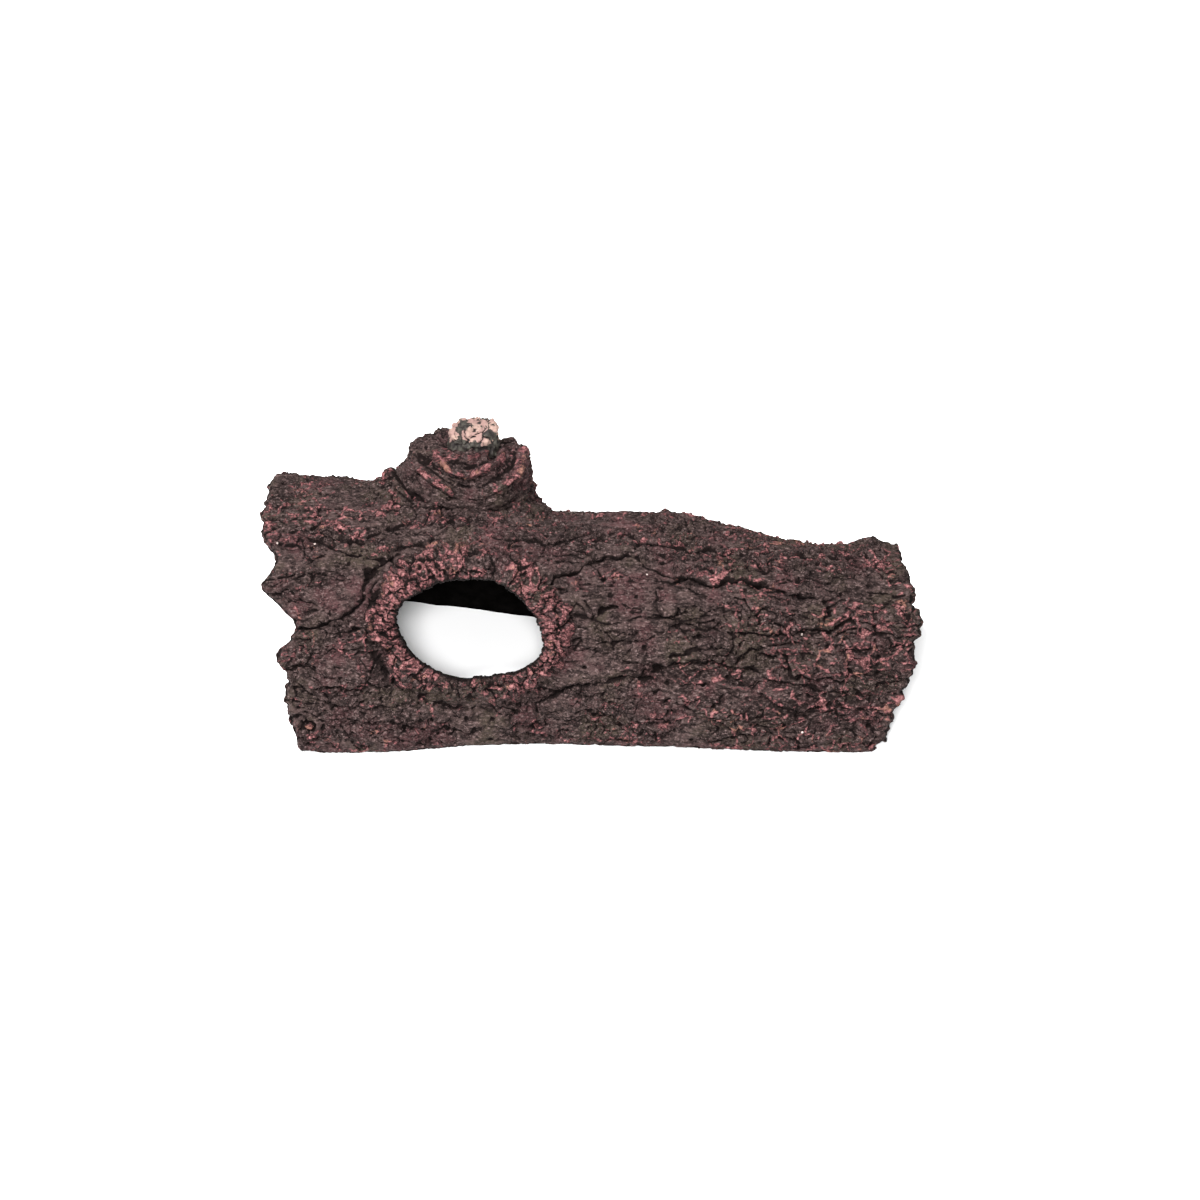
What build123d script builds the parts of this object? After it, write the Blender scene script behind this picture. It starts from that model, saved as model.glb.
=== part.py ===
"""Hollow log cave for an aquarium: a cast resin bark shell that stands on its open flat base, with a
raised knot collar round the swim-through window, a broken branch stump on the ridge and a pale
heartwood tip. All four are plain castings bonded together before painting.

Frame: +X along the log towards its thin end, +Y towards the back, +Z up, millimetres.
The origin is the centre of the bounding box's base, on the surface the log stands on."""

import math
import os

from build123d import *

# ---- the log (mm, degrees) ----
LENGTH = 200.0
WALL = 5.0
STATIONS = 9                     # sections of the shell, evenly spaced over LENGTH
DEPTHS = (90.5, 89.5, 83, 75.4, 70.4, 68.8, 67.8, 65.6, 61.8)   # outside, front rim to back rim
HEIGHTS = (62.5, 61, 60.5, 59.5, 56.5, 55, 51.5, 49.5, 49.5)    # outside, base to ridge
FRONT_WAVE = (0.5, -2, 0, 2, 2.2, 1, -0.8, -1.6, -1)   # front rim, off its straight line
FULLNESS = 2.2                   # superellipse exponent of the arch, 2 is an ellipse
SWELLS = ((0.022, 3, 17.0), (0.014, 5, -11.0))   # share of the radius, lobes, mm of x per radian
ARCH_STEPS = 16                  # spans of the spline round the arch
END_OVERRUN = 12.0               # how far the raw castings run past the broken ends
BASE_OVERRUN = 8.0               # and below the base, before the base is trimmed flat
CUT = 400.0                      # size of the tools that trim the ends and the base, past the log

# ---- its broken ends ----
LEAN = 35.0                      # the front outlines are drawn on a plane that leans back this much
RIDGE_Y = 12.0                   # where the front outlines give way to the back ones
# Front outlines, as (x, distance up the leaning plane), from the top to the base.
THICK_END = (
    (-97.5, 96), (-98.6, 80), (-99.8, 72), (-98.4, 64.5), (-94, 59), (-97.6, 52), (-98, 48),
    (-91, 40.5), (-88, 36.5), (-93.6, 29.5), (-93.2, 24.5), (-91.4, 22.6), (-92.6, 18), (-91, 6),
    (-89, 0.5), (-88, -12),
)
THIN_END = (
    (95, 96), (95.3, 60), (97.6, 52), (98.1, 45), (100.2, 37), (98, 30), (96.8, 21), (94.4, 13),
    (92.2, 10), (92, 4.5), (88, -1), (86, -12),
)
# Back outlines, as (x, z), from the top to the base.
THICK_END_BACK = (
    (-98.6, 90), (-98.6, 58), (-96.4, 46), (-98.4, 34), (-94, 23), (-96, 12), (-94.5, -12),
)
THIN_END_BACK = (
    (95.3, 90), (95.3, 47), (93.2, 36), (95.6, 24), (92.6, 11), (93.4, -12),
)

# ---- the window and its collar ----
WINDOW_X = -35.2
WINDOW_ANGLE = 37.0              # place on the arch, from the front rim round towards the ridge
WINDOW_LEAN = 30.0               # the window's axis above the horizontal
WINDOW_TURN = 8.0                # its long axis drops this much towards the thin end
WINDOW_REACH = 30.0              # how far the window's tools run, either way from the bark
OPENING = (22.9, 15.8)           # semi-axes of the clear opening
NECK = (27.0, 20.0)              # semi-axes of the collar's neck, which fills the hole in the shell
FLANGE = (34.0, 26.2)            # semi-axes of the raised ring, at the bark
FLANGE_LOW = -20.0               # the ring's wide end, below the bark, where the log curves away
FLANGE_HIGH = 12.0
COLLAR_PROUD = 4.2               # how far the ring stands above the bark
COLLAR_DRAFT = 3.0               # how much narrower the ring is at its crest

# ---- the branch stump and its heartwood ----
STUMP_X = -37.0
STUMP_Y = 11.0
STUMP_TILT = 8.0                 # the branch leans back
STUMP_TOP = 74.5                 # height of its broken shoulder
STUMP_RINGS = (                  # height above the shoulder, half width, half depth
    (-42.0, 31.0, 26.0),
    (-26.0, 28.0, 21.5),
    (-13.0, 23.0, 16.5),
    (-4.0, 18.8, 12.0),
    (0.0, 17.2, 9.5),
)
TIP_RINGS = (
    (-4.0, 6.6, 5.0),
    (0.5, 7.9, 6.2),
    (5.0, 7.4, 5.4),
    (8.0, 5.8, 3.8),
)
TIP_OFFSET = 1.6                 # the heartwood is off the stump's middle, towards the thin end
RING_POINTS = 12
RING_LOBES = ((0.05, 3), (0.03, 5))   # share of the radius, lobes
RING_TWIST = 9.0                 # mm of height per radian that the first lobes turn
PEG_RADIUS = 4.0                 # the stump's locating peg, which fills a hole in the shell
PEG_LOW, PEG_HIGH = -30.0, -10.0 # its ends, from the shoulder


def station_x(i):
    return -LENGTH / 2 + LENGTH * i / (STATIONS - 1)


def at_station(values, x):
    """The value at x, in a straight line between stations and level past the ends."""
    place = min(max((x + LENGTH / 2) / LENGTH * (STATIONS - 1), 0), STATIONS - 1)
    i = min(int(place), STATIONS - 2)
    return values[i] + (values[i + 1] - values[i]) * (place - i)


def front_rim(x):
    return -max(DEPTHS) / 2 + at_station(FRONT_WAVE, x)


def swell(x, a):
    """How much larger the arch is here than a plain superellipse, as a share of its radius."""
    waves = sum(share * math.sin(lobes * a + x / twist) for share, lobes, twist in SWELLS)
    return waves * math.sin(a)


def arch_point(x, angle, grow=0.0):
    """A point of the arch at x. angle is 0 at the front rim, 90 at the ridge and 180 at the back rim."""
    half = at_station(DEPTHS, x) / 2
    middle = front_rim(x) + half
    a = math.radians(angle)
    reach = 1 + swell(x, a)
    power = 2 / FULLNESS
    y = -math.copysign(abs(math.cos(a)) ** power, math.cos(a)) * (half * reach + grow)
    z = abs(math.sin(a)) ** power * (at_station(HEIGHTS, x) * reach + grow)
    return Vector(x, middle + y, z)


def arch_section(x, grow):
    """The closed outline of the arch at x, run on below the base."""
    points = [arch_point(x, 180 * i / ARCH_STEPS, grow) for i in range(ARCH_STEPS + 1)]
    low = Vector(0, 0, -BASE_OVERRUN)
    arch = Spline(*points, tangents=(Vector(0, 0, 1), Vector(0, 0, -1)))
    sides = Polyline(points[-1], points[-1] + low, points[0] + low, points[0])
    return Wire([arch, *sides.edges()])


def log_body(grow=0.0):
    """The whole log without its hollow, larger all round by grow, before the ends are broken."""
    places = [station_x(i) for i in range(STATIONS)]
    places = [places[0] - END_OVERRUN, *places, places[-1] + END_OVERRUN]
    return Solid.make_loft([arch_section(x, grow) for x in places])


def below_base():
    """Everything below the surface that the log stands on."""
    return Pos(0, 0, -CUT / 2) * Box(2 * CUT, CUT, CUT)


def beyond(plane, outline, past):
    """Everything on the far side of an outline drawn on a plane. past is an x well outside the log."""
    corners = [*outline, (past, outline[-1][1]), (past, outline[0][1])]
    face = make_face(plane * Polyline(*corners, close=True))
    return extrude(face, CUT / 2, both=True)


def end_tools(front, back, past):
    """What is broken off one end: by one outline in front of the ridge, by another behind it."""
    lean = math.radians(LEAN)
    leaning = Plane(
        origin=(0, front_rim(0), 0), x_dir=(1, 0, 0), z_dir=(0, -math.cos(lean), math.sin(lean))
    )
    upright = Plane(origin=(0, 0, 0), x_dir=(1, 0, 0), z_dir=(0, -1, 0))
    half_space = Box(2 * CUT, CUT, CUT)
    in_front = Pos(0, RIDGE_Y - CUT / 2, 0) * half_space
    behind = Pos(0, RIDGE_Y + CUT / 2, 0) * half_space
    return [beyond(leaning, front, past) & in_front, beyond(upright, back, past) & behind]


def window_plane():
    """The plane across the window at the bark, with +z out of the log."""
    lean, turn = math.radians(WINDOW_LEAN), math.radians(-WINDOW_TURN)
    across = Vector(1, 0, 0)
    up = Vector(0, math.sin(lean), math.cos(lean))
    out = Vector(0, -math.cos(lean), math.sin(lean))
    long_axis = across * math.cos(turn) + up * math.sin(turn)
    return Plane(origin=arch_point(WINDOW_X, WINDOW_ANGLE), x_dir=long_axis, z_dir=out)


def window_tool(semi_axes, low=-WINDOW_REACH, high=WINDOW_REACH, draft=0.0):
    """An oval plug along the window's axis from low to high, narrower by draft at high."""
    plane = window_plane()
    rings = [
        plane.offset(height) * Ellipse(semi_axes[0] - less, semi_axes[1] - less)
        for height, less in ((low, 0.0), (high, draft))
    ]
    return loft(rings)


def stump_plane(height):
    """The plane across the branch at a height above its shoulder."""
    tilt = math.radians(STUMP_TILT)
    up = Vector(0, math.sin(tilt), math.cos(tilt))
    place = Vector(STUMP_X, STUMP_Y, STUMP_TOP) + up * height
    return Plane(origin=place, x_dir=(1, 0, 0), z_dir=up)


def branch_ring(height, wide, deep, shift):
    """An uneven round outline across the branch."""
    (three, three_lobes), (five, five_lobes) = RING_LOBES
    points = []
    for i in range(RING_POINTS):
        a = 2 * math.pi * i / RING_POINTS
        uneven = 1 + three * math.sin(three_lobes * a + height / RING_TWIST)
        uneven += five * math.cos(five_lobes * a)
        points.append((shift + wide * uneven * math.cos(a), deep * uneven * math.sin(a)))
    return stump_plane(height) * Spline(*points, periodic=True)


def branch_loft(rings, shift=0.0):
    return Solid.make_loft([Wire([branch_ring(*ring, shift).edge()]) for ring in rings])


def make_collar(solid_log, hollow):
    """The ring on the bark and the neck through the wall, with the clear opening."""
    flange = window_tool(FLANGE, FLANGE_LOW, FLANGE_HIGH, COLLAR_DRAFT)
    ring = (log_body(COLLAR_PROUD) & flange) - solid_log
    neck = (solid_log & window_tool(NECK)) - hollow
    return ring + neck - window_tool(OPENING) - below_base()


def make_shell(solid_log, hollow, peg):
    """The bark shell, open below and at both broken ends."""
    shell = solid_log - hollow - window_tool(NECK) - peg - below_base()
    tools = end_tools(THICK_END, THICK_END_BACK, -CUT / 2)
    tools += end_tools(THIN_END, THIN_END_BACK, CUT / 2)
    for tool in tools:
        shell = shell - tool
    return shell


def make_parts():
    solid_log = log_body()
    hollow = log_body(-WALL)
    tip = branch_loft(TIP_RINGS, TIP_OFFSET)
    peg = extrude(stump_plane(PEG_LOW) * Circle(PEG_RADIUS), PEG_HIGH - PEG_LOW)
    return {
        "log_shell": make_shell(solid_log, hollow, peg),
        "knot_collar": make_collar(solid_log, hollow),
        "branch_stump": branch_loft(STUMP_RINGS) - solid_log + (peg - hollow) - tip,
        "heartwood_tip": tip,
    }


def main():
    parts = make_parts()
    box = Compound(children=[part.solids()[0] for part in parts.values()]).bounding_box()
    middle = (box.min + box.max) / 2
    home = Pos(-middle.X, -middle.Y, -box.min.Z)
    os.makedirs("parts", exist_ok=True)
    for name, part in parts.items():
        placed = home * part
        print(name, "solids", len(placed.solids()), "volume", round(placed.volume))
        export_step(placed, f"parts/{name}.step")
    print("size", box.size, "moved by", home.position)


if __name__ == "__main__":
    main()
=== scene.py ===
"""The looks of the hollow log cave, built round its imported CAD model, in the model's frame.

The relief is worked out in millimetres of bark: x along the log, and t round its arch from the front
rim over the ridge to the back rim. Only the finished meshes are in metres."""

import itertools
import math

import bmesh
import bpy
import numpy as np
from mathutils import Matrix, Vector
from mathutils.bvhtree import BVHTree


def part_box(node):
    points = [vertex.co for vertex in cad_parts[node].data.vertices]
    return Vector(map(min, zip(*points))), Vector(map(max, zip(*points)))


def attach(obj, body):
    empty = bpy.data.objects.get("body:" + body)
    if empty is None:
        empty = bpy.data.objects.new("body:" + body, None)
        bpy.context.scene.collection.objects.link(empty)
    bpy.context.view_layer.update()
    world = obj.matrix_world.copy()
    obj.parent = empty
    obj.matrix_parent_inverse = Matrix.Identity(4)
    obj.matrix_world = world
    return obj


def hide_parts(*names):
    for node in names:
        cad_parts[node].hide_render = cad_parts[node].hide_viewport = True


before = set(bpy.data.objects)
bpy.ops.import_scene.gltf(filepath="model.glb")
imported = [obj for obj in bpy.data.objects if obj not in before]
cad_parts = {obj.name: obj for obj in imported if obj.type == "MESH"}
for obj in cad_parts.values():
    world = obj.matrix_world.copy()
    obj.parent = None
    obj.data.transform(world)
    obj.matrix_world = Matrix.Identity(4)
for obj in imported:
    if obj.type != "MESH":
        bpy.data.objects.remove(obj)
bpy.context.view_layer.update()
MM = 0.001

# ---- sizes of the CAD that the meshes follow (mm, degrees) ----
WALL = 5.0
WINDOW_LEAN = 30.0               # the window's axis above the horizontal
WINDOW_TURN = 8.0                # its long axis drops this much towards the thin end
OPENING = np.array((21.6, 14.7))     # semi-axes of the clear opening
RING_FOOT = np.array((30.6, 24.0))   # semi-axes of the raised ring, where it meets the bark
RING_SHIFT = (-0.7, 1.5)         # both ovals' middle, from the middle of the CAD ring's box
RING_PROUD = 4.3
RAY_START = 40                   # rays down onto the bark start this far out from the window's plane
RING_TUBE = 27                   # the ring's relief is drawn on a straight tube of this radius,
RING_WIDE = 9.5                  # and this long from the foot to the opening
HOLE_SHARE = 0.62                # the shell's own hole ends this far from the opening to the foot
FAR_SIDE = -12.0                 # anything this far behind the window's middle is the back of the log,
FAR_OFF = 9.0                    # and counts as this many shares from the opening
# ---- seeds of the noise ----
BARK_SEED, PAINT_SEED, EDGE_SEED, INNER_SEED, RIM_SEED = 11, 29, 3, 5, 17
RING_SEED, STUMP_SEED, TIP_SEED = 41, 53, 67
# ---- how finely each piece is meshed ----
BARK_STEPS = (600, 470)          # along the log, round the arch
INNER_STEPS = (84, 70)
RIM_STEPS = 12                   # across the broken ends
BARK_GRAIN = 0.33                # the bark's mesh is about this fine, in mm
RING_GRAIN = 0.27                # the ring's this fine
STUMP_GRAIN = 0.3                # and the stump's this fine
RING_STEPS = (640, 92)           # round the ring, round its section
STUMP_STEPS = (440, 140)         # round the stump, up its side
TIP_STEPS = (190, 110)
# ---- the shell's broken ends (mm) ----
ARCH = 150                       # about the length round the arch
END_INSET = 0.4                  # the outside stops this far short of the CAD's ends
INNER_INSET = 0.7                # and the inside this much further in


# ======== noise
def unit(v):
    return v / np.maximum(np.linalg.norm(v, axis=-1, keepdims=True), 1e-9)


def smooth(low, high, v):
    """0 below low, 1 above high and a smooth rise between; low may be the larger."""
    s = np.clip((v - low) / (high - low), 0, 1)
    return s * s * (3 - 2 * s)


def bell(v, width):
    return np.exp(-((v / width) ** 2))


class Noise:
    """Repeatable noise on points of two or three coordinates, which are the array's last axis."""

    def __init__(self, seed):
        rng = np.random.RandomState(seed)
        self.order = rng.permutation(256)
        self.slopes = {n: unit(rng.normal(size=(256, n))) for n in (2, 3)}
        self.spots = rng.random_sample((256, 4))

    def key(self, cell):
        key = np.zeros(cell.shape[:-1], int)
        for i in range(cell.shape[-1]):
            key = self.order[(key + cell[..., i]) & 255]
        return key

    def wave(self, q):
        cell = np.floor(q).astype(int)
        part = q - cell
        ease = part**3 * (part * (part * 6 - 15) + 10)
        total = 0
        for corner in itertools.product((0, 1), repeat=q.shape[-1]):
            step = np.array(corner)
            weight = np.prod(np.where(step, ease, 1 - ease), axis=-1)
            slope = self.slopes[q.shape[-1]][self.key(cell + step)]
            total = total + weight * ((part - step) * slope).sum(-1)
        return 1.8 * total

    def __call__(self, p, size, octaves=1, gain=0.5):
        """Gradient noise, about -1 to 1, whose coarsest features measure size."""
        q = p / np.array(size, float)
        return sum(gain**i * self.wave(q * 2**i + 11.7 * i) for i in range(octaves))

    def crumbs(self, p, size, octaves=3, gain=0.45):
        """Rounded lumps parted by sharp creases, about -0.5 to 0.5."""
        q = p / np.array(size, float)
        total = sum(gain**i * np.abs(self.wave(q * 2.1**i + 5.3 * i)) for i in range(octaves))
        return 1.6 * total - 0.5

    def cells(self, p, size):
        """Scattered cells of a size: how far each point is from its cell's spot and from the next
        cell's, in cells, the offset from its spot, and a random number of the cell's own."""
        q = p / np.array(size, float)
        n = q.shape[-1]
        base = np.floor(q).astype(int)
        near = np.full(q.shape[:-1], 9.0)
        second = near.copy()
        offset = np.zeros(q.shape)
        own = np.zeros(q.shape[:-1])
        for step in itertools.product((-1, 0, 1), repeat=n):
            cell = base + np.array(step)
            spot = self.spots[self.key(cell)]
            gap = q - cell - spot[..., :n]
            far = np.linalg.norm(gap, axis=-1)
            second = np.minimum(second, np.maximum(near, far))
            closer = far < near
            near = np.where(closer, far, near)
            offset = np.where(closer[..., None], gap, offset)
            own = np.where(closer, spot[..., 3], own)
        return near, second, offset, own

    def shift(self, p, size, reach):
        """The points moved about by up to reach."""
        moves = [reach * self(p + 17.0 * (i + 1), size, 2) for i in range(p.shape[-1])]
        return p + np.stack(moves, axis=-1)

    def crook(self, p, broad, broad_reach, fine, fine_reach):
        """The points moved about twice, so that cells drawn on them have crooked edges."""
        return self.shift(self.shift(p, broad, broad_reach), fine, fine_reach)


def blur(grid, reach):
    """A grid smoothed over about reach cells each way: three box blurs, its edges held."""
    half = max(1, int(round(reach / 1.7)))
    for axis in (0, 1) * 3:
        pad = [(0, 0), (0, 0)]
        pad[axis] = (half + 1, half)
        run = np.cumsum(np.pad(grid, pad, mode="edge"), axis=axis)
        ahead = np.take(run, range(2 * half + 1, run.shape[axis]), axis=axis)
        behind = np.take(run, range(0, run.shape[axis] - 2 * half - 1), axis=axis)
        grid = (ahead - behind) / (2 * half + 1)
    return grid


def grid_normals(points):
    """Unit normals of a grid of points, from its rows and columns."""
    across = np.gradient(points, axis=1)
    along = np.gradient(points, axis=0)
    return unit(np.cross(across, along))


def facing(normals, way):
    """Normals turned round, all together, if they point against way."""
    return normals * np.sign((normals * way).sum(-1).mean())


def sample(grid, row, column):
    """A grid's values between its rows and columns, at grids of fractional row and column."""
    row = np.clip(row, 0, len(grid) - 1.001)
    column = np.clip(column, 0, grid.shape[1] - 1.001)
    i, j = row.astype(int), column.astype(int)
    u, v = row - i, column - j
    low = grid[i, j] * (1 - v) + grid[i, j + 1] * v
    high = grid[i + 1, j] * (1 - v) + grid[i + 1, j + 1] * v
    return low * (1 - u) + high * u


def path_gap(x, t, path):
    """Distance to a path of (x, t) points, and how far up its side towards the ridge."""
    best = np.full(x.shape, 1e9)
    side = np.zeros(x.shape)
    for (x0, t0), (x1, t1) in zip(path, path[1:]):
        dx, dt = x1 - x0, t1 - t0
        length = math.hypot(dx, dt)
        share = np.clip(((x - x0) * dx + (t - t0) * dt) / length**2, 0, 1)
        gap = np.hypot(x - x0 - share * dx, t - t0 - share * dt)
        up = ((t - t0) * dx - (x - x0) * dt) / length * (1 if dx >= 0 else -1)
        side = np.where(gap < best, up, side)
        best = np.minimum(best, gap)
    return best, side


# ======== the CAD shell, as a smooth sheet
REACH = 150.0                    # rays start this far from the log's middle
LEAST_RADIUS = 22.0              # and a hit nearer than this is the far wall, seen through the window
LEAST_FACING = 0.4               # a hit on a face turned further away than this is the edge of a hole
FILL_ROUNDS = 400                # passes that smooth the filled gaps
SHARE_STEPS = 400                # samples kept round the arch
XS = np.arange(-101.5, 101.6, 1.75)
ANGLES = np.radians(np.linspace(0.6, 179.4, 121))


def node_tree(node):
    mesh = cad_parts[node].data
    points = [v.co / MM for v in mesh.vertices]
    return BVHTree.FromPolygons(points, [tuple(p.vertices) for p in mesh.polygons])


SHELL_TREE = node_tree("log_shell")


def rim_middle(x):
    """Half way between the front rim and the back rim."""
    ends = []
    for side in (-1, 1):
        hit = SHELL_TREE.ray_cast(Vector((x, side * REACH, 1.0)), Vector((0, -side, 0)))[0]
        ends.append(hit.y if hit else math.nan)
    return sum(ends) / 2


def rim_line():
    middles = np.array([rim_middle(x) for x in XS])
    known = ~np.isnan(middles)
    return np.polyfit(XS[known], middles[known], 1)


RIM_SLOPE, RIM_AT_ZERO = rim_line()


def bark_radius(x, angle):
    """Distance from the middle of the base out to the bark, or None past an end or in a hole."""
    out = Vector((0, -math.cos(angle), math.sin(angle)))
    start = Vector((x, RIM_SLOPE * x + RIM_AT_ZERO, 0)) + out * REACH
    hit, normal, _, gap = SHELL_TREE.ray_cast(start, -out, REACH - LEAST_RADIUS)
    if hit is None or normal.dot(out) < LEAST_FACING:
        return None
    return REACH - gap


def end_x(angle, row, first):
    """Where the bark ends along one angle: at its first sampled x, or its last."""
    seen = np.nonzero(~np.isnan(row))[0]
    inside = XS[seen[0] if first else seen[-1]]
    outside = inside + (-1 if first else 1) * (XS[1] - XS[0])
    for _ in range(6):
        middle = (inside + outside) / 2
        if bark_radius(middle, angle) is None:
            outside = middle
        else:
            inside = middle
    return inside


def fill_gaps(grid):
    """Fills a grid's gaps from their surroundings, and past its ends."""
    known = ~np.isnan(grid)
    rows = np.arange(len(grid))
    full = np.stack([np.interp(rows, rows[k], g[k]) for g, k in zip(grid.T, known.T)], axis=1)
    for _ in range(FILL_ROUNDS):
        wide = np.pad(full, 1, mode="edge")
        mean = (wide[:-2, 1:-1] + wide[2:, 1:-1] + wide[1:-1, :-2] + wide[1:-1, 2:]) / 4
        full = np.where(known, grid, mean)
    return full


class Sheet:
    """The log's smooth outside, with no window: points by x and by share of the way round."""

    def __init__(self):
        raw = [[bark_radius(x, a) for a in ANGLES] for x in XS]
        raw = np.array([[math.nan if r is None else r for r in row] for row in raw])
        radius = blur(fill_gaps(raw), 2)
        middle = (RIM_SLOPE * XS + RIM_AT_ZERO)[:, None]
        y = middle - radius * np.cos(ANGLES)
        z = radius * np.sin(ANGLES)
        z[:, 0] = z[:, -1] = 0
        step = np.hypot(np.diff(y, axis=1), np.diff(z, axis=1))
        round_t = np.concatenate([np.zeros((len(XS), 1)), np.cumsum(step, axis=1)], axis=1)
        self.length = round_t[:, -1]
        share = round_t / self.length[:, None]
        self.shares = np.linspace(0, 1, SHARE_STEPS)
        self.y = np.stack([np.interp(self.shares, s, v) for s, v in zip(share, y)])
        self.z = np.stack([np.interp(self.shares, s, v) for s, v in zip(share, z)])
        self.ends = []
        for first in (True, False):
            ends = np.array([end_x(a, raw[:, j], first) for j, a in enumerate(ANGLES)])
            at = [np.interp(x, XS, share[:, j]) for j, x in enumerate(ends)]
            self.ends.append((np.array(at), ends))

    def end(self, side, share):
        return np.interp(share, *self.ends[side])

    def t(self, x, share):
        return share * np.interp(x, XS, self.length)

    def points(self, x, share):
        """Points for grids of x and share."""
        row = (x - XS[0]) / (XS[1] - XS[0])
        column = share * (SHARE_STEPS - 1)
        return np.stack([x, sample(self.y, row, column), sample(self.z, row, column)], axis=-1)


SHEET = Sheet()


# ======== places on the log
def window_axes():
    lean, turn = math.radians(WINDOW_LEAN), math.radians(-WINDOW_TURN)
    up = np.array((0, math.sin(lean), math.cos(lean)))
    out = np.array((0, -math.cos(lean), math.sin(lean)))
    right = np.array((1.0, 0, 0))
    long_axis = right * math.cos(turn) + up * math.sin(turn)
    return long_axis, np.cross(out, long_axis), out


LONG, SHORT, OUT = window_axes()


def box_middle(node):
    low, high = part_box(node)
    return np.array((low + high) / 2) / MM


WINDOW_CENTRE = box_middle("knot_collar") + RING_SHIFT[0] * LONG + RING_SHIFT[1] * SHORT


def window_place(points):
    """Where points are in the window's own plane: along, up and out."""
    gap = points - WINDOW_CENTRE
    return gap @ LONG, gap @ SHORT, gap @ OUT


def ring_share(points):
    """0 on the opening's outline and 1 on the ring's foot, in the window's plane."""
    a, b, out = window_place(points)
    inner = np.hypot(a / OPENING[0], b / OPENING[1])
    outer = np.hypot(a / RING_FOOT[0], b / RING_FOOT[1])
    share = (inner - 1) / np.maximum(inner / outer - 1, 1e-6)
    return np.where(out < FAR_SIDE, FAR_OFF, share)


HEART = box_middle("heartwood_tip")


# ======== bark relief
# Cracks: a path of (x, t) points, its depth and half width, and how far the bark on one side stands out
# over it as a ledge: the side towards the ridge in t, or the other where the ledge is negative.
CRACKS = (
    (((-90, 41), (-83, 44), (-76, 45), (-71, 48), (-68, 53), (-65, 59), (-60, 64)), 3.0, 1.1, 1.7),
    (((-94, 69), (-86, 69.5), (-79, 68), (-72, 65.5), (-64, 63.5), (-57, 64)), 1.7, 0.55, 0.7),
    (((-92, 73), (-82, 72.5), (-74, 69.5), (-66, 67)), 1.1, 0.45, 0.5),
    (((-66, 70), (-61, 73), (-57, 76)), 1.7, 0.8, 0.6),
    (((-12, 54), (-7, 56), (-1, 60), (5, 64.5), (12, 64), (18, 60), (25, 57.5), (32, 55.5)), 1.9, 0.6, 1.8),
    (((32, 55.5), (39, 54), (45, 55.5), (50, 55), (55, 53.5), (60, 51.5), (66, 51)), 2.4, 0.75, 2.3),
    (((19, 69.5), (25, 68.5), (31, 66.5), (38, 65.5), (43, 63.5)), 2.0, 0.65, 1.3),
    (((-22, 12.5), (-17, 16), (-10, 19.5), (-3, 21.5), (4, 23), (12, 25.5), (19, 25)), 2.3, 0.8, -1.7),
    (((18, 29), (24, 30), (31, 31.5), (37, 31.5), (44, 30), (50, 28), (57, 26.5), (64, 25.5), (68, 23)),
     3.4, 1.15, 2.5),
    (((24, 33), (32, 35), (41, 34)), 1.3, 0.5, 0.6),
    (((56, 43), (62, 40), (68, 41.5), (75, 41)), 1.9, 0.7, 1.5),
    (((42, 5.5), (48, 7.5), (55, 8), (63, 5)), 1.6, 0.6, 0.9),
    (((57, 67.5), (66, 66), (75, 65), (84, 65)), 1.0, 0.4, 0.6),
    (((-93, 27), (-85, 22.5), (-76, 25), (-66, 27)), 1.3, 0.5, 0.9),
    (((-60, 12), (-48, 7.5), (-34, 7), (-22, 9)), 1.1, 0.5, 0.7),
    (((-5, 44), (6, 42), (17, 44), (28, 43), (37, 45)), 0.8, 0.4, 0.5),
    (((-95, 108), (-84, 112), (-74, 118), (-66, 127), (-55, 131), (-42, 129)), 2.3, 0.8, -1.4),
    (((-30, 134), (-16, 130), (-4, 124), (8, 121), (22, 122), (33, 118)), 2.5, 0.8, -1.6),
    (((6, 98), (20, 101), (34, 99), (48, 103), (61, 101), (74, 104), (88, 102)), 1.8, 0.6, -1.3),
    (((-88, 144), (-72, 148), (-58, 146), (-44, 149), (-28, 147)), 1.7, 0.6, -1.0),
    (((30, 128), (44, 124), (58, 126), (72, 121), (86, 123)), 1.9, 0.7, -1.1),
    (((-8, 108), (4, 110), (15, 107)), 1.4, 0.6, -0.8),
)
# Knots in the bark: x, t and radius in mm.
EYES = ((-85.5, 10, 3.4), (30, 112, 4.2), (-72, 134, 3.0))
# Swellings: x, t, half length, half height and how proud they stand, in mm.
HUMPS = (
    (86, 76, 5.5, 5.0, 3.4), (32, 84, 21, 8, 1.4), (8, 78, 14, 10, 0.7), (-91, 86, 9, 12, 0.9),
    (-80, 56, 9, 6, 1.2), (-82, 34, 8, 6, 1.0), (-70, 6, 16, 5, 0.7), (26, 15, 16, 8, 0.9),
    (62, 14, 10, 6, 1.0), (-62, 90, 9, 9, -1.1), (6, 50, 16, 9, -0.7), (-20, 88, 12, 6, -0.6),
    (40, 40, 18, 5, 0.6), (-60, 118, 18, 12, 1.0), (10, 134, 22, 10, 1.0), (66, 112, 20, 9, 0.8),
    (23, 87, 1.6, 2.2, 1.3), (46, 76, 9, 6, 0.9),
)
# Where the bark is smooth and plain: x, t, half length and half height.
PLAIN = (
    (8, 45, 22, 17), (-75, 62, 16, 5), (-78, 50, 12, 5),
    (50, 21, 16, 6), (-45, 72, 14, 5), (80, 54, 10, 7),
)
# Sizes of the bark's features in mm, along the log and round it.
SCALE_SIZE = (21, 6.5)
CHIP_SIZE = (7.0, 3.6)
NET_SIZE = (6.6, 4.6)
THREAD_SIZE = (4.6, 3.1)
CRUMB_SIZE = (3.0, 1.9)
PIT_SIZE = (7.5, 7.5)
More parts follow.
